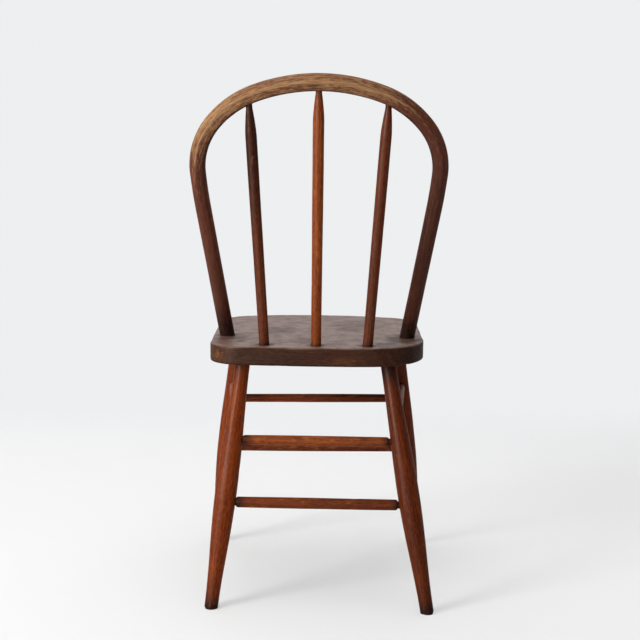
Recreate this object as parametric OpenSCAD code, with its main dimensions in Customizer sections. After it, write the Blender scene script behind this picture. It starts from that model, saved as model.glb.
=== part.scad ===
// Bow-back side chair: a plank seat, a bent bow with three spindles, four turned
// legs and two stretchers on every side. Millimetres, +Z up, the front faces -Y.
// The sticks are round tenons glued into blind sockets; no joint moves.

/* [Seat] */
// Height of the seat's top face above the floor
seat_h = 445; // [370:1:540]
// Width of the plank
seat_w = 364; // [340:1:440]
// How far the plank sits off the middle of the bow, towards the right
seat_shift = 1.5; // [0:0.5:5]
// Depth of the plank along its middle
seat_d = 386; // [360:1:465]
// Thickness of the plank
seat_t = 31.5; // [28:0.5:40]
// How far the front edge swells out between its corners
seat_front_swell = 40; // [15:1:60]
// How far the back edge swells out between its corners
seat_back_swell = 12; // [6:1:30]
// Radius of both front corners in plan
front_corner_r = 70; // [30:1:90]
// Radius of the back left corner in plan
back_left_corner_r = 55; // [30:1:110]
// Radius of the back right corner in plan, which is worn rounder
back_right_corner_r = 105; // [30:1:120]
// Radius of the worn arrises all round the plank
seat_edge_r = 3; // [1:0.5:5]
// From the middle of the back edge forward to the row of spindles
spindle_row_inset = 28; // [20:1:45]

/* [Bow] */
// Distance between the middles of the bow's feet on the seat
bow_foot_span = 312; // [260:1:330]
// From the row of spindles forward to the feet of the bow
bow_foot_inset = 98; // [60:1:120]
// Lean of the bow's plane backwards from upright, in degrees
bow_lean = 18.6; // [8:0.1:22]
// Outward slope of the straight legs of the bow within its plane, in degrees
bow_leg_slope = 8.5; // [2:0.1:12]
// Length of each straight leg of the bow
bow_leg_l = 240; // [180:1:300]
// Radius of the slack bend above each leg
bow_slack_r = 1040; // [600:10:1500]
// Turn of the slack bend, in degrees
bow_slack_turn = 3.5; // [1:0.1:6]
// Radius of each shoulder
bow_shoulder_r = 123; // [100:1:150]
// Turn of each shoulder, in degrees
bow_shoulder_turn = 44; // [36:0.5:52]
// Radius of the haunch between shoulder and crown
bow_haunch_r = 165; // [135:1:200]
// Turn of each haunch, in degrees
bow_haunch_turn = 30; // [20:0.5:36]
// Diameter of the bow's legs
bow_leg_d = 25.8; // [21:0.1:32]
// Diameter of the bow at the crown
bow_crown_d = 29; // [24:0.1:36]
// Diameter of the tenon on each foot of the bow
bow_tenon_d = 20; // [14:0.5:21]

/* [Spindles] */
// Distance between neighbouring spindles at the seat
spindle_pitch = 86.5; // [65:0.5:95]
// How far the row of spindles sits off the middle of the bow, towards the left
spindle_shift = 1.2; // [0:0.1:4]
// Outward slope of the two outer spindles, seen from the front, in degrees
spindle_slope = 3.7; // [0:0.1:6]
// Diameter of a spindle at the seat
spindle_foot_d = 17.2; // [13:0.1:22]
// Largest diameter of a spindle, just below its taper
spindle_swell_d = 18.8; // [14:0.1:24]
// Diameter of the neck that enters the bow
spindle_neck_d = 10.6; // [8:0.1:13]
// Length of the taper from the swell to the neck
spindle_taper_l = 45; // [25:1:80]
// Length of straight neck that is clear of the bow all round
spindle_neck_l = 1.5; // [1:0.5:10]
// Diameter of the tenon at the foot of a spindle
spindle_tenon_d = 12; // [9:0.5:13]

/* [Legs] */
// Distance between the rear leg sockets
rear_socket_span = 244.5; // [200:0.5:262]
// How far the pair of rear sockets sits off centre, towards the left
rear_socket_shift = 2; // [0:0.5:6]
// From the row of spindles forward to the rear leg sockets
rear_socket_inset = 18; // [8:1:40]
// Distance between the front leg sockets
front_socket_span = 296; // [240:1:304]
// From the row of spindles forward to the front leg sockets
front_socket_inset = 280; // [220:1:300]
// Sideways splay and backward rake of the rear left leg, in degrees
rear_left_angles = [6.7, 8.1]; // [0:0.1:14]
// Sideways splay and backward rake of the rear right leg, in degrees
rear_right_angles = [9.8, 9.6]; // [0:0.1:14]
// Sideways splay and forward rake of the front left leg, in degrees
front_left_angles = [5.8, 8.1]; // [0:0.1:14]
// Sideways splay and forward rake of the front right leg, in degrees
front_right_angles = [6.1, 8.1]; // [0:0.1:14]
// Diameter of a leg where it meets the seat
leg_top_d = 25.4; // [22:0.1:34]
// Largest diameter of a leg
leg_belly_d = 37; // [30:0.1:44]
// Diameter of a leg at the floor
leg_foot_d = 23; // [18:0.1:32]
// Where the belly lies, as a part of the leg's length down from the seat
leg_belly_place = 0.53; // [0.35:0.01:0.7]
// Diameter of the tenon on top of a leg
leg_tenon_d = 20; // [16:0.5:21]

/* [Stretchers] */
// Height of the upper rear stretcher
rear_upper_z = 282; // [250:1:330]
// Height of the lower rear stretcher
rear_lower_z = 178; // [120:1:200]
// Height of the upper front stretcher
front_upper_z = 295; // [260:1:330]
// How much higher the upper front stretcher sits at its right end
front_upper_rise = 4; // [0:0.5:10]
// Height of the lower front stretcher
front_lower_z = 196.5; // [130:0.5:210]
// How much higher the lower front stretcher sits at its right end
front_lower_rise = 3; // [0:0.5:10]
// Height of the upper side stretchers
side_upper_z = 322; // [290:1:350]
// Height of the lower side stretchers
side_lower_z = 224; // [160:1:235]
// Diameter of the upper rear stretcher
rear_upper_d = 17.8; // [14:0.1:22]
// Diameter of the lower rear stretcher
rear_lower_d = 18.9; // [14:0.1:22]
// Diameter of the front stretchers
front_stretcher_d = 16; // [14:0.1:22]
// Diameter of the side stretchers
side_stretcher_d = 16.5; // [14:0.1:22]
// Diameter of the tenon at both ends of every stretcher
stretcher_tenon_d = 12.4; // [9:0.1:13]
// Length of the rounded shoulder at both ends of every stretcher
stretcher_shoulder_l = 3.5; // [3:0.5:12]
// Gap at a stretcher's first end, where its shoulder is clear of the leg all round
stretcher_tight_gap = 0.5; // [0.5:0.1:4]
// Gap at its second end, where a short length of tenon shows
stretcher_open_gap = 2.5; // [0.5:0.1:8]

/* [Fits] */
// Clearance round every tenon, and under every shoulder, for the glue
glue_gap = 0.1; // [0.05:0.01:0.3]
// Room left between the end of a tenon and the bottom of its socket
end_room = 1; // [0.5:0.1:3]
// Wood left between the bottom of a seat socket and the far face
seat_socket_floor = 8; // [5:0.5:14]
// Depth of the spindle sockets in the bow
bow_socket_depth = 15; // [8:0.5:18]
// Depth of the stretcher sockets in the legs
leg_socket_depth = 15; // [8:0.5:18]

/* [Hidden] */

$fn = 64;
spare = 1;            // how far a cutting shape runs past the face that it cuts
run_out = 8;          // how far a socket's cutting shape starts outside the plank
bow_swell_power = 3;  // how late the bow's diameter grows on its way to the crown
taper_power = 1.5;    // above 1, a spindle's taper is fuller near its swell
bow_sides = 24;       // flats round the bow
bow_ring_turn = 6;    // turn of the bow between two rings, in degrees
plan_steps = 14;      // points on each arc of the seat's plan
edge_steps = 4;       // levels in each rounded arris of the seat
profile_steps = 10;   // stations in each eased stretch of a turned profile
shoulder_steps = 5;   // stations in a stretcher's rounded shoulder
stick_roll = 50;      // turn of every stick about its own axis, in degrees
stretcher_end_thin = 0.8; // how much thinner a stretcher is at its shoulders
bow_wood = [0.42, 0.30, 0.19];
leg_wood = [0.40, 0.18, 0.09];
spindle_wood = [0.42, 0.20, 0.11];
seat_wood = [0.30, 0.22, 0.17];

// Legs, in the order front left, front right, rear left, rear right: side is +1 on
// the left, way is -1 towards the front.
FRONT_LEFT = 0;
FRONT_RIGHT = 1;
REAR_LEFT = 2;
REAR_RIGHT = 3;
leg_side = [1, -1, 1, -1];
leg_way = [-1, -1, 1, 1];
leg_angles = [front_left_angles, front_right_angles, rear_left_angles, rear_right_angles];

seat_under = seat_h - seat_t;
leg_socket_xy = [
  [front_socket_span / 2, -front_socket_inset],
  [-front_socket_span / 2, -front_socket_inset],
  [rear_socket_span / 2 + rear_socket_shift, -rear_socket_inset],
  [-rear_socket_span / 2 + rear_socket_shift, -rear_socket_inset]];

// Plan of the seat, measured from the point of the row of spindles at the bow's middle
seat_back_y = spindle_row_inset;
seat_front_y = seat_back_y - seat_d;
function swell_radius(swell) = (pow(seat_w / 2, 2) + swell * swell) / (2 * swell);
front_edge_r = swell_radius(seat_front_swell);
back_edge_r = swell_radius(seat_back_swell);
front_edge_y = seat_front_y + front_edge_r;
back_edge_y = seat_back_y - back_edge_r;

// Legs: a point on the axis at height z, and the radius there
function leg_top(i) = [leg_socket_xy[i].x, leg_socket_xy[i].y, seat_under];
function leg_slope(i) =
  [leg_side[i] * tan(leg_angles[i].x), leg_way[i] * tan(leg_angles[i].y), -1];
function leg_at(i, z) = leg_top(i) + (seat_under - z) * leg_slope(i);
function ease(t) = (1 - cos(180 * t)) / 2;
function leg_radius(t) = t < leg_belly_place
  ? (leg_top_d + (leg_belly_d - leg_top_d) * ease(t / leg_belly_place)) / 2
  : (leg_foot_d + (leg_belly_d - leg_foot_d)
      * ease((1 - t) / (1 - leg_belly_place))) / 2;
function leg_radius_at(z) = leg_radius((seat_under - z) / seat_under);

// Bow: its half path runs in its own plane, u across and w up the plane, as a
// straight leg and four tangent bends. The crown's radius closes the two halves.
bow_start = [bow_foot_span / 2, 0];
bow_heading = 90 - bow_leg_slope;
function run(p, h, l) = p + l * [cos(h), sin(h)];
function bend(p, h, r, a) = p + r * [sin(h + a) - sin(h), cos(h) - cos(h + a)];
slack_p = run(bow_start, bow_heading, bow_leg_l);
shoulder_h = bow_heading + bow_slack_turn;
shoulder_p = bend(slack_p, bow_heading, bow_slack_r, bow_slack_turn);
haunch_h = shoulder_h + bow_shoulder_turn;
haunch_p = bend(shoulder_p, shoulder_h, bow_shoulder_r, bow_shoulder_turn);
crown_h = haunch_h + bow_haunch_turn;
crown_p = bend(haunch_p, haunch_h, bow_haunch_r, bow_haunch_turn);
crown_turn = 180 - crown_h;
bow_crown_r = crown_p.x / sin(crown_turn);
crown_w = bend(crown_p, crown_h, bow_crown_r, crown_turn).y;
bow_bottom = -bow_leg_d;   // the bow is swept from below the seat and cut off flush

// A ring is [u, w, heading]
function bend_rings(p, h, r, a) = let (n = ceil(a / bow_ring_turn))
  [for (k = [1:n]) let (q = bend(p, h, r, a * k / n)) [q.x, q.y, h + a * k / n]];
function run_ring(l) = let (q = run(bow_start, bow_heading, l)) [q.x, q.y, bow_heading];
half_rings = concat([run_ring(bow_bottom), run_ring(bow_leg_l)],
  bend_rings(slack_p, bow_heading, bow_slack_r, bow_slack_turn),
  bend_rings(shoulder_p, shoulder_h, bow_shoulder_r, bow_shoulder_turn),
  bend_rings(haunch_p, haunch_h, bow_haunch_r, bow_haunch_turn),
  bend_rings(crown_p, crown_h, bow_crown_r, crown_turn));
half_count = len(half_rings);
bow_rings = concat(half_rings, [for (k = [half_count - 2:-1:0])
  [-half_rings[k][0], half_rings[k][1], 360 - half_rings[k][2]]]);
function bow_diameter(w) =
  bow_leg_d + (bow_crown_d - bow_leg_d) * pow(max(w, 0) / crown_w, bow_swell_power);

// A point of the bow's plane, and the direction square to it, in the frame
bow_foot_y = -bow_foot_inset;
function plane_point(p) =
  [p.x, bow_foot_y + p.y * sin(bow_lean), seat_h + p.y * cos(bow_lean)];
plane_normal = [0, cos(bow_lean), -sin(bow_lean)];

// Spindles: each stands on the seat at the row and ends on the bow's centre line, at
// the first place past the bow's shoulder where its sideways slope crosses it. That
// crossing is [u, w, heading] of the bow.
spindle_side = [1, 0, -1];   // left, centre, right
function spindle_foot(k) = [spindle_shift + spindle_side[k] * spindle_pitch, 0, seat_h];
function spindle_miss(ring, k) = ring[0] - spindle_foot(k).x
  - spindle_side[k] * ring[1] * cos(bow_lean) * tan(spindle_slope);
function crossing(k, i = 1) =
  let (a = bow_rings[i], b = bow_rings[i + 1])
  let (miss_a = spindle_miss(a, k), miss_b = spindle_miss(b, k))
  a[1] > crown_w / 2 && miss_a >= 0 && miss_b <= 0
    ? a + (b - a) * miss_a / (miss_a - miss_b)
    : crossing(k, i + 1);
function spindle_top(k) = plane_point(crossing(k));

// Angle between a spindle and the bow's own outward direction where they meet
function bow_out(heading) =
  [sin(heading), -cos(heading) * sin(bow_lean), -cos(heading) * cos(bow_lean)];
function meeting_angle(k) = let (d = spindle_top(k) - spindle_foot(k))
  acos(d * bow_out(crossing(k)[2]) / norm(d));

// The origin lies under the middle of the chair's overall box
function foot_reach(i) = leg_at(i, 0).y
  + leg_way[i] * leg_foot_d / 2 / cos(leg_angles[i].y);
chair_rear = max(plane_point([0, crown_w]).y + bow_crown_d / 2,
  foot_reach(REAR_LEFT), foot_reach(REAR_RIGHT));
chair_front = min(seat_front_y, foot_reach(FRONT_LEFT), foot_reach(FRONT_RIGHT));
to_origin = [0, -(chair_rear + chair_front) / 2, 0];

// Stands what follows on point a, with its +Z towards point b. The roll about its own
// axis keeps the seam of a round face away from the plane that the stick leans in.
module aim(a, b) {
  d = b - a;
  translate(a) rotate([0, acos(d.z / norm(d)), atan2(d.y, d.x)])
    rotate([0, 0, stick_roll]) children();
}

module turned(profile) {
  rotate_extrude() polygon(concat([[0, profile[0].y]], profile,
    [[0, profile[len(profile) - 1].y]]));
}

// A round stick between two points that pokes out past both, for cutting or joining
module rod(a, b, d, before = 0, after = 0) {
  aim(a, b) translate([0, 0, -before]) cylinder(h = norm(b - a) + before + after, d = d);
}

// ---- seat ----

// Corners, in the order of the legs: radius, then the swelling edge that each one meets
corner_r = [front_corner_r, front_corner_r, back_left_corner_r, back_right_corner_r];
edge_r = [front_edge_r, front_edge_r, back_edge_r, back_edge_r];
edge_y = [front_edge_y, front_edge_y, back_edge_y, back_edge_y];
function corner_centre(i) = let (x = seat_w / 2 - corner_r[i])
  [leg_side[i] * x - seat_shift, edge_y[i] + leg_way[i] * sqrt(pow(edge_r[i] - corner_r[i], 2) - x * x)];
function corner_turn(i) =
  let (c = corner_centre(i)) abs(atan2(c.y - edge_y[i], abs(c.x + seat_shift)));

// The plan as tangent arcs, each [centre, radius, first angle, last angle], going
// round from the middle of the left side over the back
back_centre = [-seat_shift, back_edge_y];
front_centre = [-seat_shift, front_edge_y];
plan_arcs = [
  [corner_centre(REAR_LEFT), back_left_corner_r, 0, corner_turn(REAR_LEFT)],
  [back_centre, back_edge_r, corner_turn(REAR_LEFT), 180 - corner_turn(REAR_RIGHT)],
  [corner_centre(REAR_RIGHT), back_right_corner_r, 180 - corner_turn(REAR_RIGHT), 180],
  [corner_centre(FRONT_RIGHT), front_corner_r, 180, 180 + corner_turn(FRONT_RIGHT)],
  [front_centre, front_edge_r, 180 + corner_turn(FRONT_RIGHT), 360 - corner_turn(FRONT_LEFT)],
  [corner_centre(FRONT_LEFT), front_corner_r, 360 - corner_turn(FRONT_LEFT), 360]];

// The plan drawn in by inset all round: every arc keeps its centre and loses radius
function plan(inset) = [for (arc = plan_arcs, k = [0:plan_steps - 1])
  let (a = arc[2] + (arc[3] - arc[2]) * (k + 0.5) / plan_steps)
  arc[0] + (arc[1] - inset) * [cos(a), sin(a)]];

// Levels from the bottom face to the top one, each [inset, height]
plank_levels = concat(
  [for (k = [0:edge_steps]) let (a = 90 * k / edge_steps)
    [seat_edge_r * (1 - sin(a)), seat_edge_r * (1 - cos(a))]],
  [for (k = [0:edge_steps]) let (a = 90 * k / edge_steps)
    [seat_edge_r * (1 - cos(a)), seat_t - seat_edge_r * (1 - sin(a))]]);

module plank() {
  n = len(plan(0));
  last = len(plank_levels) - 1;
  points = [for (level = plank_levels, p = plan(level[0])) [p.x, p.y, level[1]]];
  sides = [for (i = [0:last - 1], j = [0:n - 1]) let (m = (j + 1) % n)
    [i * n + j, (i + 1) * n + j, (i + 1) * n + m, i * n + m]];
  faces = [[for (j = [0:n - 1]) j], [for (j = [n - 1:-1:0]) last * n + j]];
  polyhedron(points, concat(sides, faces));
}

// All that lies between two heights, wider than the chair
module layer(low, high) {
  side = 4 * seat_d;
  translate([-side / 2, -side / 2, low]) cube([side, side, high - low]);
}

module seat() {
  color(seat_wood) translate(to_origin) difference() {
    translate([0, 0, seat_under]) plank();
    for (i = [0:3]) leg_socket(i);
    for (k = [0:2]) spindle_seat_socket(k);
    for (side = [1, -1]) bow_socket(side);
  }
}

module leg_socket(i) {
  a = leg_top(i);
  up = -leg_slope(i);
  rod(a - run_out * up, a + (seat_t - seat_socket_floor) * up, leg_tenon_d + 2 * glue_gap);
}

module spindle_seat_socket(k) {
  a = spindle_foot(k);
  d = spindle_down(k);
  rod(a - run_out * d, a + (seat_t - seat_socket_floor) * d, spindle_tenon_d + 2 * glue_gap);
}

module bow_socket(side) {
  a = plane_point([side * bow_start.x, 0]);
  d = bow_down(side);
  rod(a - run_out * d, a + (seat_t - seat_socket_floor) * d, bow_tenon_d + 2 * glue_gap);
}

// Directions down into the seat, each a millimetre deep
function spindle_down(k) = let (d = spindle_foot(k) - spindle_top(k)) d / -d.z;
function bow_down(side) =
  let (d = plane_point([side * bow_start.x, 0])
    - plane_point([side * slack_p.x, slack_p.y])) d / -d.z;
tenon_reach = seat_t - seat_socket_floor - end_room;

// ---- bow ----

module bow_sweep() {
  ring_points = [for (ring = bow_rings, j = [0:bow_sides - 1])
    let (a = 360 * j / bow_sides, r = bow_diameter(ring[1]) / 2)
    let (out = [sin(ring[2]), -cos(ring[2])])
    plane_point([ring[0], ring[1]] + r * cos(a) * out) + r * sin(a) * plane_normal];
  last = len(bow_rings) - 1;
  sides = [for (i = [0:last - 1], j = [0:bow_sides - 1])
    let (n = (j + 1) % bow_sides)
    [i * bow_sides + j, (i + 1) * bow_sides + j, (i + 1) * bow_sides + n, i * bow_sides + n]];
  ends = [[for (j = [0:bow_sides - 1]) j], [for (j = [bow_sides - 1:-1:0]) last * bow_sides + j]];
  polyhedron(ring_points, concat(sides, ends));
}

module bow() {
  color(bow_wood) translate(to_origin) difference() {
    union() {
      difference() {
        bow_sweep();
        layer(0, seat_h + glue_gap);
      }
      for (side = [1, -1]) {
        foot = plane_point([side * bow_start.x, 0]);
        d = bow_down(side);
        rod(foot - bow_leg_d * d, foot + tenon_reach * d, bow_tenon_d);
      }
    }
    for (k = [0:2]) rod(spindle_top(k) + bow_socket_start * spindle_down(k), spindle_top(k),
      spindle_neck_d + 2 * glue_gap, spare, bow_socket_end);
  }
}

// The sockets run from well below the bow to their depth above its underside
bow_socket_start = bow_crown_d;
bow_socket_end = bow_socket_depth - bow_crown_d / 2;

// ---- spindles ----

module spindle(k) {
  foot = spindle_foot(k);
  top = spindle_top(k);
  d = spindle_down(k);
  meeting = meeting_angle(k);
  bow_r = bow_diameter(crossing(k).y) / 2;
  body_l = norm(top - foot) - bow_r / cos(meeting)
    - spindle_neck_d / 2 * tan(meeting) - spindle_neck_l;
  start = -spindle_foot_d;   // turned from below the seat and cut off flush
  swell_z = body_l - spindle_taper_l;
  color(spindle_wood) translate(to_origin) union() {
    difference() {
      aim(foot, top) turned(concat(
        [[spindle_foot_d / 2, start]],
        [for (s = [0:profile_steps]) let (t = s / profile_steps)
          [(spindle_foot_d + (spindle_swell_d - spindle_foot_d) * ease(t)) / 2, t * swell_z]],
        [for (s = [1:profile_steps]) let (t = s / profile_steps)
          [(spindle_swell_d - (spindle_swell_d - spindle_neck_d) * pow(t, taper_power)) / 2,
            swell_z + t * spindle_taper_l]],
        [[spindle_neck_d / 2, norm(top - foot) + bow_socket_end - end_room]]));
      layer(0, seat_h + glue_gap);
    }
    rod(foot - spindle_foot_d * d, foot + tenon_reach * d, spindle_tenon_d);
  }
}

module spindle_left() { spindle(0); }
module spindle_centre() { spindle(1); }
module spindle_right() { spindle(2); }

// ---- legs ----

module leg(i) {
  top = leg_top(i);
  foot = leg_at(i, 0);
  up = -leg_slope(i);
  length = norm(foot - top);
  color(leg_wood) translate(to_origin) difference() {
    union() {
      intersection() {
        aim(top, foot) turned(concat([[leg_top_d / 2, -leg_top_d]],
          [for (s = [0:2 * profile_steps]) let (t = s / profile_steps / 2)
            [leg_radius(t), t * length]],
          [[leg_foot_d / 2, length + leg_foot_d]]));
        layer(0, seat_under - glue_gap);
      }
      rod(top - leg_top_d * up, top + tenon_reach * up, leg_tenon_d);
    }
    for (s = STRETCHERS) {
      if (s[0] == i) stretcher_socket(s, 0);
      if (s[1] == i) stretcher_socket(s, 1);
    }
  }
}

module leg_front_left() { leg(FRONT_LEFT); }
module leg_front_right() { leg(FRONT_RIGHT); }
module leg_rear_left() { leg(REAR_LEFT); }
module leg_rear_right() { leg(REAR_RIGHT); }

// ---- stretchers ----

// [first leg, second leg, height at the first, height at the second, diameter]
FRONT_UPPER = [FRONT_LEFT, FRONT_RIGHT, front_upper_z - front_upper_rise / 2,
  front_upper_z + front_upper_rise / 2, front_stretcher_d];
FRONT_LOWER = [FRONT_LEFT, FRONT_RIGHT, front_lower_z - front_lower_rise / 2,
  front_lower_z + front_lower_rise / 2, front_stretcher_d];
REAR_UPPER = [REAR_LEFT, REAR_RIGHT, rear_upper_z, rear_upper_z, rear_upper_d];
REAR_LOWER = [REAR_LEFT, REAR_RIGHT, rear_lower_z, rear_lower_z, rear_lower_d];
LEFT_UPPER = [FRONT_LEFT, REAR_LEFT, side_upper_z, side_upper_z, side_stretcher_d];
LEFT_LOWER = [FRONT_LEFT, REAR_LEFT, side_lower_z, side_lower_z, side_stretcher_d];
RIGHT_UPPER = [FRONT_RIGHT, REAR_RIGHT, side_upper_z, side_upper_z, side_stretcher_d];
RIGHT_LOWER = [FRONT_RIGHT, REAR_RIGHT, side_lower_z, side_lower_z, side_stretcher_d];
STRETCHERS = [FRONT_UPPER, FRONT_LOWER, REAR_UPPER, REAR_LOWER,
  LEFT_UPPER, LEFT_LOWER, RIGHT_UPPER, RIGHT_LOWER];

function stretcher_end(s, e) = leg_at(s[e], s[2 + e]);

// How far a stretcher leans from square to the leg at its end, and how far from the
// leg's axis it is clear of the leg all round
function leg_tilt(s, e) =
  let (d = stretcher_end(s, 1 - e) - stretcher_end(s, e), axis = leg_slope(s[e]))
  asin(abs(d * axis) / norm(d) / norm(axis));
function leg_clear(s, e) = leg_radius_at(s[2 + e]) / cos(leg_tilt(s, e))
  + stretcher_tenon_d / 2 * tan(leg_tilt(s, e));

module stretcher_socket(s, e) {
  a = stretcher_end(s, e);
  b = stretcher_end(s, 1 - e);
  wall = leg_radius_at(s[2 + e]);
  aim(a, b) translate([0, 0, wall - leg_socket_depth])
    cylinder(h = leg_socket_depth + wall, d = stretcher_tenon_d + 2 * glue_gap);
}

// One end of a stretcher's profile: the tenon, then its rounded shoulder
function end_profile(s, e, gap, r) = concat(
  [[stretcher_tenon_d / 2, leg_radius_at(s[2 + e]) - leg_socket_depth + end_room]],
  [for (k = [0:shoulder_steps]) let (a = 90 * k / shoulder_steps)
    [stretcher_tenon_d / 2 + (r - stretcher_tenon_d / 2) * sin(a),
      leg_clear(s, e) + gap + stretcher_shoulder_l * (1 - cos(a))]]);

module stretcher(s) {
  a = stretcher_end(s, 0);
  b = stretcher_end(s, 1);
  length = norm(b - a);
  r_end = (s[4] - stretcher_end_thin) / 2;
  first = end_profile(s, 0, stretcher_tight_gap, r_end);
  second = end_profile(s, 1, stretcher_open_gap, r_end);
  n = len(second) - 1;
  z0 = first[n].y;
  z1 = length - second[n].y;
  color(leg_wood) translate(to_origin) aim(a, b) turned(concat(first,
    [for (k = [1:profile_steps - 1]) let (t = k / profile_steps)
      [r_end + stretcher_end_thin / 2 * sin(180 * t), z0 + t * (z1 - z0)]],
    [for (k = [n:-1:0]) [second[k].x, length - second[k].y]]));
}

module stretcher_front_upper() { stretcher(FRONT_UPPER); }
module stretcher_front_lower() { stretcher(FRONT_LOWER); }
module stretcher_rear_upper() { stretcher(REAR_UPPER); }
module stretcher_rear_lower() { stretcher(REAR_LOWER); }
module stretcher_left_upper() { stretcher(LEFT_UPPER); }
module stretcher_left_lower() { stretcher(LEFT_LOWER); }
module stretcher_right_upper() { stretcher(RIGHT_UPPER); }
module stretcher_right_lower() { stretcher(RIGHT_LOWER); }

seat();
bow();
spindle_left();
spindle_centre();
spindle_right();
leg_front_left();
leg_front_right();
leg_rear_left();
leg_rear_right();
stretcher_front_upper();
stretcher_front_lower();
stretcher_rear_upper();
stretcher_rear_lower();
stretcher_left_upper();
stretcher_left_lower();
stretcher_right_upper();
stretcher_right_lower();
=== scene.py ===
import bpy
import math
import numpy as np
from mathutils import Matrix, Vector, noise


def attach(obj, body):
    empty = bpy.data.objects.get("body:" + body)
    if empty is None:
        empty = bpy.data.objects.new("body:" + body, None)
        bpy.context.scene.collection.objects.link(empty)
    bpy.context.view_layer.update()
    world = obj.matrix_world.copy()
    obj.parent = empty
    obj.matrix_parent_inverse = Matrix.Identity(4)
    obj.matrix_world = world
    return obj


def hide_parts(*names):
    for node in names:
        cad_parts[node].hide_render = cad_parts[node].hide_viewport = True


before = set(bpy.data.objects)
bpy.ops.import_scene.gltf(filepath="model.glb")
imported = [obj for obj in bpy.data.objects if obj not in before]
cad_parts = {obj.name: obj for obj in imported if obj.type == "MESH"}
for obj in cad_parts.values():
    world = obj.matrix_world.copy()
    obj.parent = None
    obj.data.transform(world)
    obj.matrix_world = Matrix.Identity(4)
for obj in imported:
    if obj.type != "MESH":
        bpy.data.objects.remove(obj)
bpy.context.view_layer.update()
print("frame loaded with", len(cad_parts), "nodes")

rowPlace = 0.1472      # the row of spindles stands this far behind the middle of the chair
seatTop = 0.445        # height of the seat's top face
seatUnder = 0.4135     # height of its underside
knockBare = 600        # how bare a stick is in a knock, for each metre of the knock's depth


def softStep(low, high, x):
    t = np.clip((x - low) / (high - low), 0, 1)
    return t * t * (3 - 2 * t)


def risen(stops, x):
    # stops are an amount, where it starts and where it is reached
    amount, low, high = stops
    return amount * softStep(low, high, x)


def bump(x, middle, width):
    return np.exp(-((x - middle) / width) ** 2)


def roam(points, size, seed):
    # smooth random values from about -0.7 to 0.7 that swing once over each size
    flat = np.asarray(points, float).reshape(-1, 3) / np.asarray(size, float) + seed * 3.71
    return np.array([noise.noise(Vector(p)) for p in flat]).reshape(np.shape(points)[:-1])


def turnGap(a, b):
    return (a - b + math.pi) % (2 * math.pi) - math.pi


def dented(along, turn, radius, reach, count, seed, depth=0.00025):
    # knocks pressed into a stick: how deep each point of it is pushed in
    dice = np.random.default_rng(seed)
    pushed = np.zeros(np.shape(radius))
    for _ in range(count):
        place, side = dice.uniform(*reach), dice.uniform(-math.pi, math.pi)
        long, wide = dice.uniform(0.003, 0.009), dice.uniform(0.0015, 0.004)
        deep = depth * dice.uniform(0.4, 1)
        pushed += deep * bump(along, place, long) * bump(turnGap(turn, side) * radius, 0, wide)
    return pushed


def closeLoft(name, rings, tracks):
    # rings run along the piece, each a closed loop of points, and both ends close on a pole
    count, sides = rings.shape[:2]
    points = np.concatenate([rings.reshape(-1, 3), rings[[0, -1]].mean(axis=1)])
    firstPole, lastPole = count * sides, count * sides + 1
    i, j = np.meshgrid(np.arange(count - 1) * sides, np.arange(sides), indexing="ij")
    k = (j + 1) % sides
    faces = np.stack([i + j, i + k, i + sides + k, i + sides + j], -1).reshape(-1, 4).tolist()
    last = (count - 1) * sides
    for a in range(sides):
        b = (a + 1) % sides
        faces.append([firstPole, b, a])
        faces.append([lastPole, last + a, last + b])
    mesh = bpy.data.meshes.new(name)
    mesh.from_pydata(points.tolist(), [], faces)
    mesh.shade_smooth()
    for label, values in tracks.items():
        values = np.asarray(values, float)
        wide = values.ndim == 3
        values = np.concatenate([values.reshape(count * sides, -1),
                                 values[[0, -1]].mean(axis=1).reshape(2, -1)])
        kept = mesh.attributes.new(label, "FLOAT_VECTOR" if wide else "FLOAT", "POINT")
        kept.data.foreach_set("vector" if wide else "value", values.astype(np.float32).ravel())
    piece = bpy.data.objects.new(name, mesh)
    bpy.context.scene.collection.objects.link(piece)
    return piece


def crossways(along):
    # two directions square to a stick and to each other
    guess = np.array([1.0, 0, 0]) if abs(along[0]) < 0.7 else np.array([0, 0, 1.0])
    across = guess - guess.dot(along) * along
    across /= np.linalg.norm(across)
    return across, np.cross(along, across)


def layStick(name, start, end, stations, radiusAt, look, seed, level=False, grimeAndShade=None, rub=None):
    # a round stick from start to end; level cuts its rings flat instead of square to it
    start, end = np.array(start), np.array(end)
    length = np.linalg.norm(end - start)
    along = (end - start) / length
    across, side = crossways(along)
    turn = np.linspace(0, 2 * math.pi, look["sides"], endpoint=False)[None, :]
    out = np.cos(turn)[..., None] * across + np.sin(turn)[..., None] * side
    reach = np.repeat(np.asarray(stations)[:, None], look["sides"], axis=1)
    radius = radiusAt(reach)
    if level:
        height = start[2] + np.asarray(stations)[:, None] * along[2]
        for _ in range(4):
            reach = (height - start[2] - radius * out[..., 2]) / along[2]
            radius = radiusAt(reach)
    place = np.stack([radius * np.cos(turn), radius * np.sin(turn), reach], -1)
    radius = radius - look["flats"] * softStep(-0.1, 0.5, roam(place, (0.011, 0.011, 0.1), seed))
    knocks = dented(reach, turn, radius, (0.02, length - 0.02), look["knocks"], seed)
    radius = radius - knocks
    points = start + reach[..., None] * along + radius[..., None] * out
    if level:
        points[..., 2] = np.maximum(points[..., 2], start[2])
    dice = np.random.default_rng(seed + 50)
    pith = np.array([dice.uniform(0.03, 0.05), dice.uniform(-0.02, 0.02), dice.uniform(0, 4)])
    return closeLoft(name, points, {
        "grain": place + pith,
        "rub": (rub(reach, turn, length) if rub else 0 * reach) + knockBare * knocks,
        "grimeAndShade": grimeAndShade(reach, turn, length) if grimeAndShade else 0 * reach})


def spread(*stops):
    # stations that run through the stops, each stop a (place, step to the next one)
    places = []
    for (a, step), (b, _) in zip(stops, stops[1:]):
        places.append(np.arange(a, b - step / 2, step))
    return np.concatenate(places + [[stops[-1][0]]])


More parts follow.
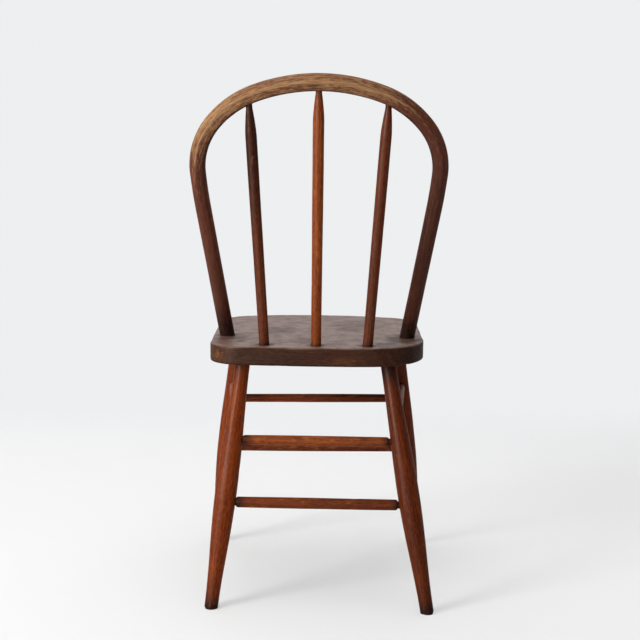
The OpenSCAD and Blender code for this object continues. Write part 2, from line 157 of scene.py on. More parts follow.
seatBoard = {
    "width": 0.364, "depth": 0.3859, "rowInset": 0.028, "shift": 0.0015,
    "frontSwell": 0.040, "backSwell": 0.012,
    "frontCorner": 0.070, "backLeftCorner": 0.055, "backRightCorner": 0.105,
    "arris": (0.0022, 0.0045),       # least and greatest rounding of the worn edges
    "leftWear": (0.0016, 0.12, 0.17),     # the left side's top edge is rounder still
    "around": 720, "waviness": 0.00025,
    "chips": 34, "chipSize": (0.002, 0.0055), "chipDepth": (0.0003, 0.0008), "chipBare": 300,
    # the corner value paints a highlight on the rear top arris at the left in bare-wood colour
    "edgeBare": 0.2, "cornerHighlight": (0.55, 0.128, 0.03),      # how bare, then place and reach
    # on the rear edge: how bare, place and reach along it, place and reach up it, and whether
    # the patch runs over onto the top
    "barePatches": [
        (0.50, -0.04, 0.045, 0.008, 0.012, False),
        (0.78, 0.170, 0.018, 0.013, 0.014, True),
        (0.35, 0.12, 0.012, 0.012, 0.009, False)],
    # dirt, a darker underside and painted shade along the right end's edge: amount, where it starts and where
    # it is reached
    "socketDirt": (1.0, 0.021, 0.009), "underDark": 0.55, "edgeDirt": 0.5, "rightShade": (0.95, -0.09, -0.165),
    "stains": [            # dark spots on the top that hold no dust: place, reach and depth
        (0.138, -0.07, 0.035, 0.6), (-0.15, -0.085, 0.05, 0.75), (-0.115, -0.01, 0.035, 0.5),
        (0.02, -0.05, 0.03, 0.45), (0.07, -0.16, 0.05, 0.4), (-0.07, -0.22, 0.06, 0.4)],
}


def seatOutline(board):
    # points round the plank and the outward direction at each, from tangent arcs
    half = board["width"] / 2
    back = board["rowInset"]
    front = back - board["depth"]

    def swell(rise):
        return (half ** 2 + rise ** 2) / (2 * rise)
    frontR, backR = swell(board["frontSwell"]), swell(board["backSwell"])
    frontY, backY = front + frontR, back - backR

    def corner(side, way, radius, edgeR, edgeY):
        x = half - radius
        y = edgeY + way * math.sqrt((edgeR - radius) ** 2 - x * x)
        return (side * x, y), abs(math.atan2(y - edgeY, x))
    bl, blTurn = corner(1, 1, board["backLeftCorner"], backR, backY)
    br, brTurn = corner(-1, 1, board["backRightCorner"], backR, backY)
    fr, frTurn = corner(-1, -1, board["frontCorner"], frontR, frontY)
    fl, flTurn = corner(1, -1, board["frontCorner"], frontR, frontY)
    full = math.pi
    runs = [(bl, board["backLeftCorner"], 0, blTurn),
            ((0, backY), backR, blTurn, full - brTurn),
            (br, board["backRightCorner"], full - brTurn, full),
            (None, -half, br[1], fr[1]),
            (fr, board["frontCorner"], full, full + frTurn),
            ((0, frontY), frontR, full + frTurn, 2 * full - flTurn),
            (fl, board["frontCorner"], 2 * full - flTurn, 2 * full),
            (None, half, fl[1], bl[1])]
    spots, ways = [], []
    for centre, size, start, stop in runs:
        if centre is None:           # a straight side at x = size, from y = start to y = stop
            y = start + (stop - start) * np.linspace(0, 1, 200, endpoint=False)
            spots.append(np.stack([np.full(y.shape, size), y], -1))
            ways.append(np.stack([np.full(y.shape, np.sign(size)), 0 * y], -1))
        else:                        # an arc of radius size
            t = np.linspace(start, stop, 400, endpoint=False)
            way = np.stack([np.cos(t), np.sin(t)], -1)
            spots.append(np.array(centre) + size * way)
            ways.append(way)
    spots, ways = np.concatenate(spots), np.concatenate(ways)
    steps = np.linalg.norm(np.diff(spots, axis=0, append=spots[:1]), axis=1)
    run = np.concatenate([[0], np.cumsum(steps)])
    want = np.linspace(0, run[-1], board["around"], endpoint=False)

    def even(values):
        looped = np.concatenate([values, values[:1]])
        return np.stack([np.interp(want, run, looped[:, k]) for k in (0, 1)], -1)
    ways = even(ways)
    return even(spots) - [board["shift"], 0], ways / np.linalg.norm(ways, axis=1)[:, None]


def buildSeat(board):
    outline, ways = seatOutline(board)
    middle = np.array([-board["shift"], board["rowInset"] - board["depth"] / 2])
    n = len(outline)
    round3 = np.concatenate([outline, np.zeros((n, 1))], -1)
    least, most = board["arris"]
    topArris = least + (most - least) * softStep(-0.45, 0.5, roam(round3, 0.05, 3))
    lowArris = least + (most - least) * 0.6 * softStep(-0.45, 0.5, roam(round3, 0.06, 8))
    topArris += risen(board["leftWear"], outline[:, 0]) * (outline[:, 1] > -0.05)
    thick = seatTop - seatUnder
    rings, topness, edge, inner = [], [], [], []

    def add(inset, height, share=1.0, top=0.0, arris=0.0):
        flat = outline - ways * np.asarray(inset).reshape(-1, 1)
        flat = middle + (flat - middle) * share
        rings.append(np.concatenate([flat, np.broadcast_to(height, n)[:, None]], -1))
        topness.append(np.full(n, top))
        edge.append(np.full(n, arris))
        inner.append(np.full(n, 1 - share))

    # underside, lower arris, side, upper arris and top, each a row of rings
    for share in np.linspace(0.02, 0.985, 30):
        add(lowArris, 0.0, share)
    for t in np.linspace(0, math.pi / 2, 7):
        add(lowArris * (1 - math.sin(t)), lowArris * (1 - math.cos(t)), 1, 0, math.sin(2 * t) * 0.6)
    for t in np.linspace(0, 1, 18)[1:-1]:
        add(0.0, lowArris + (thick - topArris - lowArris) * t)
    for t in np.linspace(0, math.pi / 2, 9):
        add(topArris * (1 - math.cos(t)), thick - topArris * (1 - math.sin(t)), 1, t / 1.6, math.sin(2 * t))
    for share in np.linspace(0.985, 0.015, 64):
        add(topArris, thick, share, 1)
    rings, topness, edge, inner = (np.array(values) for values in (rings, topness, edge, inner))

    # hand-planed unevenness, then chips along both edges, always taken off the wood
    low = roam(rings, (0.09, 0.05, 0.05), 11)
    fine = roam(rings, (0.03, 0.012, 0.012), 12)
    down = board["waviness"] * (softStep(-0.4, 0.5, low) + 0.4 * softStep(-0.3, 0.5, fine))
    sideways = (1 - topness) * softStep(0, 0.004, rings[..., 2]) * down * 0.6
    rings[..., :2] -= sideways[..., None] * ways
    rings[..., 2] -= topness * down * (0.15 + 0.85 * softStep(0.02, 0.14, inner))
    dice = np.random.default_rng(21)
    chipped = np.zeros(edge.shape)
    for _ in range(board["chips"]):
        spot = outline[dice.integers(n)]
        high = thick if dice.random() < 0.65 else 0.0
        size = dice.uniform(*board["chipSize"])
        away = np.linalg.norm(rings - np.array([*spot, high]), axis=-1)
        chipped += dice.uniform(*board["chipDepth"]) * bump(away, 0, size)
    rings[..., :2] -= (chipped * 0.8)[..., None] * ways
    rings[..., 2] += chipped * np.where(rings[..., 2] > thick / 2, -0.7, 0.7)

    # bare wood on the arrises, in the chips and in patches of the rear edge, and a painted highlight on the
    # rear top arris at the left
    x, y, z = rings[..., 0], rings[..., 1], rings[..., 2]
    rear = softStep(-0.02, 0.01, y)
    # painted highlight: the rear top arris at the left is made pale with bare-wood colour
    bare, at, reach = board["cornerHighlight"]
    rub = board["edgeBare"] * edge + board["chipBare"] * chipped
    rub += bare * rear * edge * bump(x, at, reach) * softStep(0.02, 0.03, z)
    for bare, at, reach, high, tall, over in board["barePatches"]:
        rub += bare * rear * (1 if over else 1 - topness) * bump(x, at, reach) * bump(z, high, tall)

    # dirt round the sticks and over the edge, darker on the underside, and painted shade over the edge
    # towards its right end
    grimeAndShade = np.zeros(edge.shape)
    for foot in bowFeet + spindleFeet:
        away = np.hypot(x - foot[0], y - foot[1] + 0.003)
        grimeAndShade = np.maximum(grimeAndShade, risen(board["socketDirt"], away) * topness * (z > thick / 2))
    grimeAndShade = np.maximum(grimeAndShade, board["underDark"] * (z < 0.004))
    worn = np.maximum(bump(x, -0.04, 0.045) * bump(z, 0.008, 0.012), bump(x, 0.172, 0.024))
    grimeAndShade = np.maximum(grimeAndShade, board["edgeDirt"] * (1 - topness) * (1 - 0.8 * worn))
    # painted shade: the edge darkens towards the right end, away from the lamp
    grimeAndShade = np.maximum(grimeAndShade, risen(board["rightShade"], x) * (1 - topness))
    ragged = 0.02 * roam(np.stack([x, y, 0 * z], -1), 0.02, 17)
    for px, py, reach, depth in board["stains"]:
        away = np.hypot(x - px, (y - py) * 0.8) + ragged
        grimeAndShade = np.maximum(grimeAndShade, depth * topness * softStep(reach, 0.4 * reach, away))
    points = rings + np.array([0, rowPlace, seatUnder])
    points[..., 2] = np.clip(points[..., 2], seatUnder, seatTop)
    return closeLoft("seat_plank", points, {
        "grain": np.stack([y + 0.33, z - 0.09, x + 2.0], -1), "rub": rub, "grimeAndShade": grimeAndShade})


bowStick = {
    "footSpan": 0.312, "footInset": 0.098, "lean": math.radians(18.6),
    "legSlope": math.radians(8.5), "leg": 0.240,
    "bends": [(1.040, math.radians(3.5)), (0.123, math.radians(44)), (0.165, math.radians(30))],
    "legDiameter": 0.0258, "crownDiameter": 0.029,
    "ridge": math.radians(72), "ridgeDepth": 0.075,   # the soft arris left by the drawknife
    "leastDepth": 0.008, "ridgeRise": (0.12, 0.42), "ridgeFaces": (-0.45, 0.47), "ridgeSoft": 0.00022,
    "sides": 56, "step": 0.0021, "sink": 0.006, "clear": 0.00005,
    "flats": 0.00022, "knocks": 26, "knockDepth": 0.0005, "knockBare": 500,
    # wear, dirt, painted shade under the crown and over the right half, and wear with a painted highlight on
    # the left shoulder: amount, then where it starts and where it is reached, or its place and reach
    "handled": 0.10, "crownBare": (0.50, 0.20, 0.42), "ridgeBare": (0.55, 0.25, 0.40),
    "shoulderBareAndHighlight": (0.35, -0.19, 0.05), "middleBare": (0.50, -0.003, 0.022), "rightShadeFade": (0.75, 0.07, 0.20),
    "footDirt": (1.0, 0.08, 0.015), "underDark": (0.9, 0.26, 0.36), "rightShade": (0.42, 0.20, 0.32),
}


def bowPath(stick):
    # straight leg, three bends and half the crown: (length, radius) and where each begins
    heading = math.pi / 2 - stick["legSlope"]
    spot = np.array([stick["footSpan"] / 2, 0.0])
    parts = [(stick["leg"], None, spot, heading)]
    spot = spot + stick["leg"] * np.array([math.cos(heading), math.sin(heading)])
    for radius, turn in stick["bends"]:
        parts.append((radius * turn, radius, spot, heading))
        spot = spot + radius * np.array([math.sin(heading + turn) - math.sin(heading),
                                         math.cos(heading) - math.cos(heading + turn)])
        heading += turn
    turn = math.pi - heading
    crown = spot[0] / math.sin(turn)
    parts.append((crown * turn, crown, spot, heading))
    return parts


def bowPoint(parts, s):
    # place and heading in the bow's plane, s metres from the left foot
    half = sum(p[0] for p in parts)
    mirrored = s > half
    s = 2 * half - s if mirrored else s
    for length, radius, spot, heading in parts:
        if s <= length or radius == parts[-1][1]:
            break
        s -= length
    if radius is None:
        place = spot + s * np.array([math.cos(heading), math.sin(heading)])
    else:
        turn = heading + s / radius
        place = spot + radius * np.array([math.sin(turn) - math.sin(heading),
                                          math.cos(heading) - math.cos(turn)])
        heading = turn
    return (-place[0], place[1], -heading) if mirrored else (place[0], place[1], heading)


def bowSpace(u, w):
    # from the bow's own plane into the room
    lean = bowStick["lean"]
    return np.array([u, rowPlace - bowStick["footInset"] + w * math.sin(lean),
                     seatTop + w * math.cos(lean)])


def bowOutward(heading):
    # away from the middle of the back, square to the bow
    lean = bowStick["lean"]
    return np.array([math.sin(heading), -math.cos(heading) * math.sin(lean),
                     -math.cos(heading) * math.cos(lean)])


bowParts = bowPath(bowStick)
bowHalf = sum(p[0] for p in bowParts)
crownRise = bowPoint(bowParts, bowHalf)[1]
bowFeet = [(side * bowStick["footSpan"] / 2, -bowStick["footInset"]) for side in (1, -1)]


def buildBow(stick):
    total = 2 * bowHalf + 2 * stick["sink"]
    count = int(total / stick["step"])
    turn = np.linspace(0, 2 * math.pi, stick["sides"], endpoint=False)
    rear = np.array([0, math.cos(stick["lean"]), -math.sin(stick["lean"])])
    rings, place, run = [], [], []
    for s in np.linspace(-stick["sink"], 2 * bowHalf + stick["sink"], count):
        u, w, heading = bowPoint(bowParts, s)
        share = (max(w, 0) / crownRise) ** 3
        thick = stick["legDiameter"] + (stick["crownDiameter"] - stick["legDiameter"]) * share
        radius = thick / 2 - stick["clear"]
        # two flats meet at the ridge; they fade on the way down both legs
        depth = stick["leastDepth"] + stick["ridgeDepth"] * softStep(*stick["ridgeRise"], w)
        wander = 0.05 * math.sin(s * 9) + 0.03 * math.sin(s * 23 + 1)
        shape = np.full(turn.shape, radius)
        for way in stick["ridgeFaces"]:
            face = turnGap(turn, stick["ridge"] + wander + way)
            flat = radius * (1 - depth) / np.clip(np.cos(face), 0.3, 1)
            soft = stick["ridgeSoft"]
            shape = -soft * np.logaddexp(-shape / soft, -flat / soft)
        rings.append((bowSpace(u, w), bowOutward(heading), shape))
        run.append(s)
        place.append(np.stack([shape * np.cos(turn), shape * np.sin(turn), np.full(turn.shape, s)], -1))
    place, run = np.array(place), np.array(run)[:, None]
    shape = np.array([r[2] for r in rings])
    shape -= stick["flats"] * softStep(-0.1, 0.5, roam(place, (0.014, 0.014, 0.08), 31))
    knocks = dented(run, turn[None, :], shape, (0.05, 2 * bowHalf - 0.05), stick["knocks"], 32,
                    stick["knockDepth"])
    shape -= knocks
    points = np.array([c + h[:, None] * (np.cos(turn)[:, None] * o + np.sin(turn)[:, None] * rear)
                       for (c, o, _), h in zip(rings, shape)])
    # worn through along the crown, on the ridge most of all
    crownward = np.minimum(run, 2 * bowHalf - run)
    ridge = bump(turnGap(turn[None, :], stick["ridge"]), 0, 0.16)
    # the underside of the crown: kept from wearing bare, and darkened below as painted shade
    under = softStep(2.0, 2.5, np.abs(turnGap(turn[None, :], 0.2)))
    past = run - bowHalf          # beyond the middle of the crown, on the right half
    # painted shade: the crown's bare wood fades out over the right half, away from the lamp
    fading = 1 - risen(stick["rightShadeFade"], past)
    rub = (stick["handled"] + risen(stick["crownBare"], crownward) * fading) * (1 - 0.9 * under)
    rub = rub + ridge * risen(stick["ridgeBare"], crownward) * fading
    # the outer side of the left shoulder: wear and a painted highlight in bare-wood colour
    outer = bump(turnGap(turn[None, :], 0.5), 0, 0.4)
    for name, face in (("shoulderBareAndHighlight", outer), ("middleBare", ridge)):
        bare, at, reach = stick[name]
        rub = rub + bare * face * bump(past, at, reach)
    rub = rub + stick["knockBare"] * knocks
    # dirt at the feet, painted shade under the crown, then painted shade over the right half
    grimeAndShade = np.maximum(risen(stick["footDirt"], crownward), under * risen(stick["underDark"], crownward))
    grimeAndShade = np.maximum(grimeAndShade, risen(stick["rightShade"], past))
    return closeLoft("bow_back", points, {
        "grain": place + np.array([0.045, 0.012, 1.0]), "rub": rub, "grimeAndShade": grimeAndShade})


spindleStick = {
    "pitch": 0.0865, "shift": 0.0012, "slope": math.radians(3.7),
    "foot": 0.0172, "swell": 0.0188, "neck": 0.0106, "taper": 0.045, "neckClear": 0.0015,
    "sides": 44, "flats": 0.0002, "knocks": 9, "sink": 0.006,
    "middleBare": (0.10, 0.12), "footDirt": (1.0, 0.014, 0.005), "topDark": (0.8, 0.035, 0.006),
    # on the left one alone: how far below its top and how long, then the dirt up its length
    "nick": (0.098, 0.002), "smear": (0.106, 0.009), "leftDirt": (0.85, 0.2, 0.95),
}
spindleFeet = [(spindleStick["shift"] + side * spindleStick["pitch"], 0.0) for side in (1, 0, -1)]


def spindleTop(side):
    # where the spindle's sideways slope crosses the middle line of the bow
    low, high = 0.35 * bowHalf, 1.65 * bowHalf
    for _ in range(50):
        s = (low + high) / 2
        u, w, _ = bowPoint(bowParts, s)
        miss = u - spindleStick["shift"] - side * (
            spindleStick["pitch"] + w * math.cos(bowStick["lean"]) * math.tan(spindleStick["slope"]))
        low, high = (s, high) if miss > 0 else (low, s)
    return bowPoint(bowParts, s)


def buildSpindle(name, side, seed, fade):
    stick = spindleStick
    u, w, heading = spindleTop(side)
    foot = np.array([stick["shift"] + side * stick["pitch"], rowPlace, seatTop])
    top = bowSpace(u, w)
    way = (top - foot) / np.linalg.norm(top - foot)
    meeting = math.acos(abs(way.dot(bowOutward(heading))))
    whole = np.linalg.norm(top - foot)
    inBow = bowStick["crownDiameter"] / 2 / math.cos(meeting) + stick["neck"] / 2 * math.tan(meeting)
    body = whole - inBow - stick["neckClear"]
    swellAt = body - stick["taper"]
    sink = stick["sink"]

    def radiusAt(reach):
        s = reach - sink
        rise = (1 - np.cos(np.pi * np.clip(s / swellAt, 0, 1))) / 2
        thick = stick["foot"] + (stick["swell"] - stick["foot"]) * rise
        fall = np.clip((s - swellAt) / stick["taper"], 0, 1) ** 1.5
        return (thick - (stick["swell"] - stick["neck"]) * fall) / 2

    stations = spread((0, 0.002), (sink + swellAt, 0.0015), (whole + sink - 0.008, 0))

    def rub(reach, turn, length):
        bare, wide = stick["middleBare"]
        worn = fade + bare * bump(reach, length * 0.5, wide)
        if side == 1:
            (nick, nickReach), (smear, smearReach) = stick["nick"], stick["smear"]
            worn = worn + 1.0 * bump(reach, length - nick, nickReach) * bump(turnGap(turn, 1.75), 0, 0.25)
            worn = worn + 0.5 * bump(reach, length - smear, smearReach) * bump(turnGap(turn, 1.5), 0, 0.35)
        return worn

    def grimeAndShade(reach, turn, length):
        ends = np.maximum(risen(stick["footDirt"], reach), risen(stick["topDark"], length - reach))
        return np.maximum(ends, risen(stick["leftDirt"], reach / length)) if side == 1 else ends
    return layStick(name, foot - sink * way, top, stations, radiusAt, stick, seed, grimeAndShade=grimeAndShade, rub=rub)


legStick = {
    "top": 0.0254, "belly": 0.037, "foot": 0.0229, "bellyPlace": 0.53,
    "sides": 60, "flats": 0.0003, "knocks": 14, "sink": 0.003, "footEase": 0.0018,
    "handled": 0.16, "bellyBare": (0.16, 0.47, 0.11),
    "footDirt": [(0.35, 0.07, 0.03), (0.5, 0.03, 0.010), (0.3, 0.012, 0.005)],
    # painted shade under the seat at the top of each leg, stronger on the right legs
    "topDark": {"left": (0.35, 0.06, 0.004), "right": (0.85, 0.06, 0.004)},
}
legPlaces = {   # socket on the row's own lines, then sideways and fore-and-aft slope in degrees
    "leg_front_left": ((0.148, -0.280), (5.8, -8.1)),
    "leg_front_right": ((-0.148, -0.280), (-6.1, -8.1)),
    "leg_rear_left": ((0.12425, -0.018), (6.7, 8.1)),
    "leg_rear_right": ((-0.12025, -0.018), (-9.8, 9.6)),
}


def legAt(name, z):
    (x, y), (splay, rake) = legPlaces[name]
    drop = seatUnder - z
    return np.array([x + drop * math.tan(math.radians(splay)),
                     y + rowPlace + drop * math.tan(math.radians(rake)), z])


def legRadius(t):
    # t runs from 0 at the seat to 1 at the floor
    stick = legStick
    t = np.clip(t, 0, 1)
    upper = (1 - np.cos(np.pi * np.minimum(t / stick["bellyPlace"], 1))) / 2
    lower = (1 - np.cos(np.pi * np.minimum((1 - t) / (1 - stick["bellyPlace"]), 1))) / 2
    return np.where(t < stick["bellyPlace"],
                    stick["top"] + (stick["belly"] - stick["top"]) * upper,
                    stick["foot"] + (stick["belly"] - stick["foot"]) * lower) / 2


def buildLeg(name, seed):
    foot, top = legAt(name, 0), legAt(name, seatUnder + legStick["sink"])
    length = np.linalg.norm(top - foot)
    inside = length * seatUnder / (seatUnder + legStick["sink"])
    ease = legStick["footEase"]

    def radiusAt(reach):
        radius = legRadius(1 - reach / inside)
        worn = np.clip(1 - reach / ease, 0, 1)
        return radius - ease * (1 - np.sqrt(1 - 0.98 * worn ** 2))
    stations = spread((0, 0.0003), (0.0024, 0.0019), (length, 0))

    def rub(reach, turn, length):
        bare, at, wide = legStick["bellyBare"]
        return legStick["handled"] + bare * bump(reach, length * at, wide)

    def grimeAndShade(reach, turn, length):
        low = sum(risen(stops, reach) for stops in legStick["footDirt"])
        # dirt at the foot, painted shade at the top under the seat
        return np.maximum(low, risen(legStick["topDark"][name.split("_")[-1]], length - reach))
    return layStick(name + "_turned", foot, top, stations, radiusAt, legStick, seed,
                    level=True, grimeAndShade=grimeAndShade, rub=rub)


stretcherStick = {
    "tenon": 0.0124, "shoulder": 0.0035, "tight": 0.0008, "open": 0.0030, "endThin": 0.0008,
    "sides": 44, "flats": 0.00022, "knocks": 8, "sink": 0.003,
    # the far value is painted shade: darker towards the second leg, the right-hand end of the front and rear
    # stretchers
    "topBare": (0.16, 0.0, 0.08), "endDirt": (1.0, 0.026, 0.006), "farShade": (0.35, 0.45, 0.95),
}
stretcherPlaces = {   # first leg, second leg, height at each, diameter, wear
    "stretcher_front_upper": ("leg_front_left", "leg_front_right", 0.293, 0.297, 0.016, 0.28),
    "stretcher_front_lower": ("leg_front_left", "leg_front_right", 0.195, 0.198, 0.016, 0.42),
    "stretcher_rear_upper": ("leg_rear_left", "leg_rear_right", 0.282, 0.282, 0.0178, 0.34),
    "stretcher_rear_lower": ("leg_rear_left", "leg_rear_right", 0.178, 0.178, 0.0189, 0.26),
    "stretcher_left_upper": ("leg_front_left", "leg_rear_left", 0.322, 0.322, 0.0165, 0.24),
    "stretcher_left_lower": ("leg_front_left", "leg_rear_left", 0.224, 0.224, 0.0165, 0.30),
    "stretcher_right_upper": ("leg_front_right", "leg_rear_right", 0.322, 0.322, 0.0165, 0.22),
    "stretcher_right_lower": ("leg_front_right", "leg_rear_right", 0.224, 0.224, 0.0165, 0.30),
}


def buildStretcher(name, seed):
    first, second, za, zb, diameter, worn = stretcherPlaces[name]
    stick = stretcherStick
    a, b = legAt(first, za), legAt(second, zb)
    way = (b - a) / np.linalg.norm(b - a)
    wallA = float(legRadius((seatUnder - za) / seatUnder))
    wallB = float(legRadius((seatUnder - zb) / seatUnder))
    start, end = a + way * (wallA - stick["sink"]), b - way * (wallB - stick["sink"])
    length = np.linalg.norm(end - start)
    neckA, neckB = stick["sink"] + stick["tight"], stick["sink"] + stick["open"]
    endR, tenonR = (diameter - stick["endThin"]) / 2, stick["tenon"] / 2

    def radiusAt(reach):
        t = np.clip((reach - neckA) / (length - neckA - neckB), 0, 1)
        body = endR + stick["endThin"] / 2 * np.sin(np.pi * t)
        near = np.minimum(reach - neckA, length - neckB - reach)
        rise = np.sqrt(1 - (1 - np.clip(near / stick["shoulder"], 0, 1)) ** 2)
        return tenonR + (body - tenonR) * rise
    stations = spread((0, 0.0005), (neckA + 0.002, 0.0011), (neckA + stick["shoulder"], 0.002),
                      (length - neckB - stick["shoulder"], 0.0011), (length - neckB - 0.002, 0.0005),
                      (length, 0))

    def rub(reach, turn, length):
        upward = np.cos(turnGap(turn, stretcherUp(way)))
        return worn + upward * risen(stick["topBare"], np.minimum(reach, length - reach))

    def grimeAndShade(reach, turn, length):
        ends = risen(stick["endDirt"], np.minimum(reach, length - reach))
        # dirt at the ends, painted shade towards the second leg
        return np.maximum(ends, risen(stick["farShade"], reach / length))
    return layStick(name + "_turned", start, end, stations, radiusAt, stick, seed, grimeAndShade=grimeAndShade, rub=rub)


def stretcherUp(way):
    # the turn round a stretcher at which its surface faces up, in layStick's own terms
    across, side = crossways(way)
    return math.atan2(side[2], across[2])


def tone(r, g, b):
    # a colour given from 0 to 255 as it looks, turned into light
    return tuple(c / 255 / 12.92 if c < 10.3 else ((c / 255 + 0.055) / 1.055) ** 2.4
                 for c in (r, g, b)) + (1.0,)


def put(tree, kind, feeds=None, **settings):
    # a new node, with sockets linked or plain values set on its inputs
    node = tree.nodes.new("ShaderNode" + kind)
    for key, value in settings.items():
        setattr(node, key, value)
    for key, value in (feeds or {}).items():
        if isinstance(value, bpy.types.NodeSocket):
            tree.links.new(value, node.inputs[key])
        else:
            node.inputs[key].default_value = value
    return node


def calc(tree, operation, a, b=0.0, clamp=False):
    return put(tree, "Math", {0: a, 1: b}, operation=operation, use_clamp=clamp).outputs[0]


def times(tree, a, b):
    return calc(tree, "MULTIPLY", a, b)


def plus(tree, a, b):
    return calc(tree, "ADD", a, b)


def minus(tree, a, b):
    return calc(tree, "SUBTRACT", a, b)


def remap(tree, value, low, high, toLow=0.0, toHigh=1.0):
    return put(tree, "MapRange", {"Value": value, "From Min": low, "From Max": high,
                                  "To Min": toLow, "To Max": toHigh},
               interpolation_type="SMOOTHSTEP").outputs["Result"]


def blendTones(tree, amount, under, over):
    return put(tree, "Mix", {0: amount, 6: under, 7: over}, data_type="RGBA").outputs[2]


def plainRays(tree):
    # one for the rays that see the studio's plain colour, as the camera and the gloss do
    path = put(tree, "LightPath").outputs
    mirrored = calc(tree, "MAXIMUM", path["Is Glossy Ray"], path["Is Transmission Ray"])
    return calc(tree, "MAXIMUM", path["Is Camera Ray"], mirrored)


def stretched(tree, place, wide, long):
    # squeezes a place so that a pattern comes out wide across and long along the wood
    size = put(tree, "CombineXYZ", {0: wide, 1: wide, 2: long}).outputs[0]
    return put(tree, "VectorMath", {0: place, 1: size}, operation="DIVIDE").outputs[0]


def speckle(tree, place, detail=4.0, roughness=0.6, distortion=0.0):
    return put(tree, "TexNoise", {"Vector": place, "Scale": 1.0, "Detail": detail,
                                  "Roughness": roughness, "Distortion": distortion}).outputs["Fac"]


def newGroup(name, inputs, outputs):
    tree = bpy.data.node_groups.new(name, "ShaderNodeTree")
    for label, kind, value in inputs:
        socket = tree.interface.new_socket(name=label, in_out="INPUT", socket_type="NodeSocket" + kind)
        if value is not None:
            socket.default_value = value
    for label in outputs:
        tree.interface.new_socket(name=label, in_out="OUTPUT", socket_type="NodeSocketFloat")
    return tree, tree.nodes.new("NodeGroupInput").outputs, tree.nodes.new("NodeGroupOutput").inputs


def makeWoodFigure():
    # streaks, growth rings and open pores that run along the wood
    tree, given, result = newGroup("woodFigure", [
        ("Grain", "Vector", None), ("Streak Width", "Float", 0.002), ("Streak Length", "Float", 0.12),
        ("Ring Width", "Float", 0.006), ("Wander", "Float", 0.004)],
        ["Streaks", "Rings", "Pores", "Flecks"])
    grain = given["Grain"]
    drawn = stretched(tree, grain, given["Streak Width"], given["Streak Length"])
    streaks = speckle(tree, drawn, 6.0, 0.65, 0.3)
    tree.links.new(remap(tree, streaks, 0.24, 0.76), result["Streaks"])
    # the rings lie round the pith, which wanders along the wood
    drift = put(tree, "TexNoise", {"Vector": stretched(tree, grain, 0.03, 0.16), "Scale": 1.0, "Detail": 2.0})
    centred = put(tree, "VectorMath", {0: drift.outputs["Color"], 1: (0.5, 0.5, 0.5)},
                  operation="SUBTRACT").outputs[0]
    moved = put(tree, "VectorMath", {0: centred, "Scale": given["Wander"]}, operation="SCALE").outputs[0]
    warped = put(tree, "VectorMath", {0: grain, 1: moved}, operation="ADD").outputs[0]
    flat = put(tree, "VectorMath", {0: warped, 1: (1, 1, 0)}, operation="MULTIPLY").outputs[0]
    pith = put(tree, "VectorMath", {0: flat}, operation="LENGTH").outputs["Value"]
    years = calc(tree, "FRACT", calc(tree, "DIVIDE", pith, given["Ring Width"]))
    late = times(tree, remap(tree, years, 0.25, 0.9), remap(tree, years, 1.0, 0.93))
    tree.links.new(late, result["Rings"])
    flecks = speckle(tree, stretched(tree, grain, 0.0022, 0.009), 4.0, 0.6)
    tree.links.new(remap(tree, flecks, 0.36, 0.66), result["Flecks"])
    dots = speckle(tree, stretched(tree, grain, 0.0005, 0.011), 2.0, 0.5)
    early = remap(tree, years, 0.75, 0.2, 0.25, 1.0)
    tree.links.new(times(tree, remap(tree, dots, 0.6, 0.7), early), result["Pores"])
    return tree


def makeRubbedSpots():
    # where handling has worn the stain away: rub says how much, and the noise breaks it up
    tree, given, result = newGroup("rubbedSpots", [
        ("Grain", "Vector", None), ("Rub", "Float", 0.0), ("Spot Size", "Float", 0.006),
        ("Spot Length", "Float", 0.03), ("Softness", "Float", 0.18)], ["Bare"])
    spots = stretched(tree, given["Grain"], given["Spot Size"], given["Spot Length"])
    broad = speckle(tree, spots, 5.0, 0.62)
    level = plus(tree, given["Rub"], times(tree, minus(tree, broad, 0.5), 1.5))
    low = minus(tree, 0.6, given["Softness"])
    high = plus(tree, 0.6, given["Softness"])
    tree.links.new(remap(tree, level, low, high), result["Bare"])
    return tree


def makeFineScratches():
    # thin lines in two directions, gathered in patches
    tree, given, result = newGroup("fineScratches", [
        ("Place", "Vector", None), ("Length", "Float", 0.03), ("Gap", "Float", 0.004),
        ("Cover", "Float", 0.5)], ["Scratches"])
    lines = []
    for turn, shift in ((0.12, 0.0), (-0.3, 3.0)):
        turned = put(tree, "VectorRotate", {"Vector": given["Place"], "Angle": turn},
                     rotation_type="X_AXIS").outputs[0]
        moved = put(tree, "VectorMath", {0: turned, 1: (shift, shift, shift)}, operation="ADD").outputs[0]
        wave = speckle(tree, stretched(tree, moved, given["Gap"], given["Length"]), 1.0, 0.4)
        off = calc(tree, "ABSOLUTE", minus(tree, wave, 0.5))
        lines.append(remap(tree, off, 0.012, 0.0))
    both = calc(tree, "MAXIMUM", lines[0], lines[1])
    patches = speckle(tree, stretched(tree, given["Place"], 0.012, 0.03), 3.0, 0.6)
    low = minus(tree, 0.75, times(tree, given["Cover"], 0.5))
    shown = remap(tree, patches, low, plus(tree, low, 0.12))
    tree.links.new(times(tree, both, shown), result["Scratches"])
    return tree


def makeDustFilm():
    # dust and dulled varnish lie on what faces up
    tree, given, result = newGroup("dustFilm", [
        ("Place", "Vector", None), ("Amount", "Float", 0.3), ("Patch Size", "Float", 0.03),
        ("Thinnest", "Float", 0.45)], ["Dust"])
    up = put(tree, "SeparateXYZ", {0: put(tree, "NewGeometry").outputs["Normal"]}).outputs["Z"]
    patches = stretched(tree, given["Place"], given["Patch Size"], given["Patch Size"])
    cloud = remap(tree, speckle(tree, patches, 6.0, 0.7), 0.36, 0.62, given["Thinnest"], 1.0)
    lying = times(tree, remap(tree, up, 0.15, 0.95), cloud)
    tree.links.new(times(tree, lying, given["Amount"]), result["Dust"])
    return tree


woodFigure = makeWoodFigure()
rubbedSpots = makeRubbedSpots()
fineScratches = makeFineScratches()
dustFilm = makeDustFilm()


def useGroup(tree, group, feeds):
    return put(tree, "Group", feeds, node_tree=group).outputs


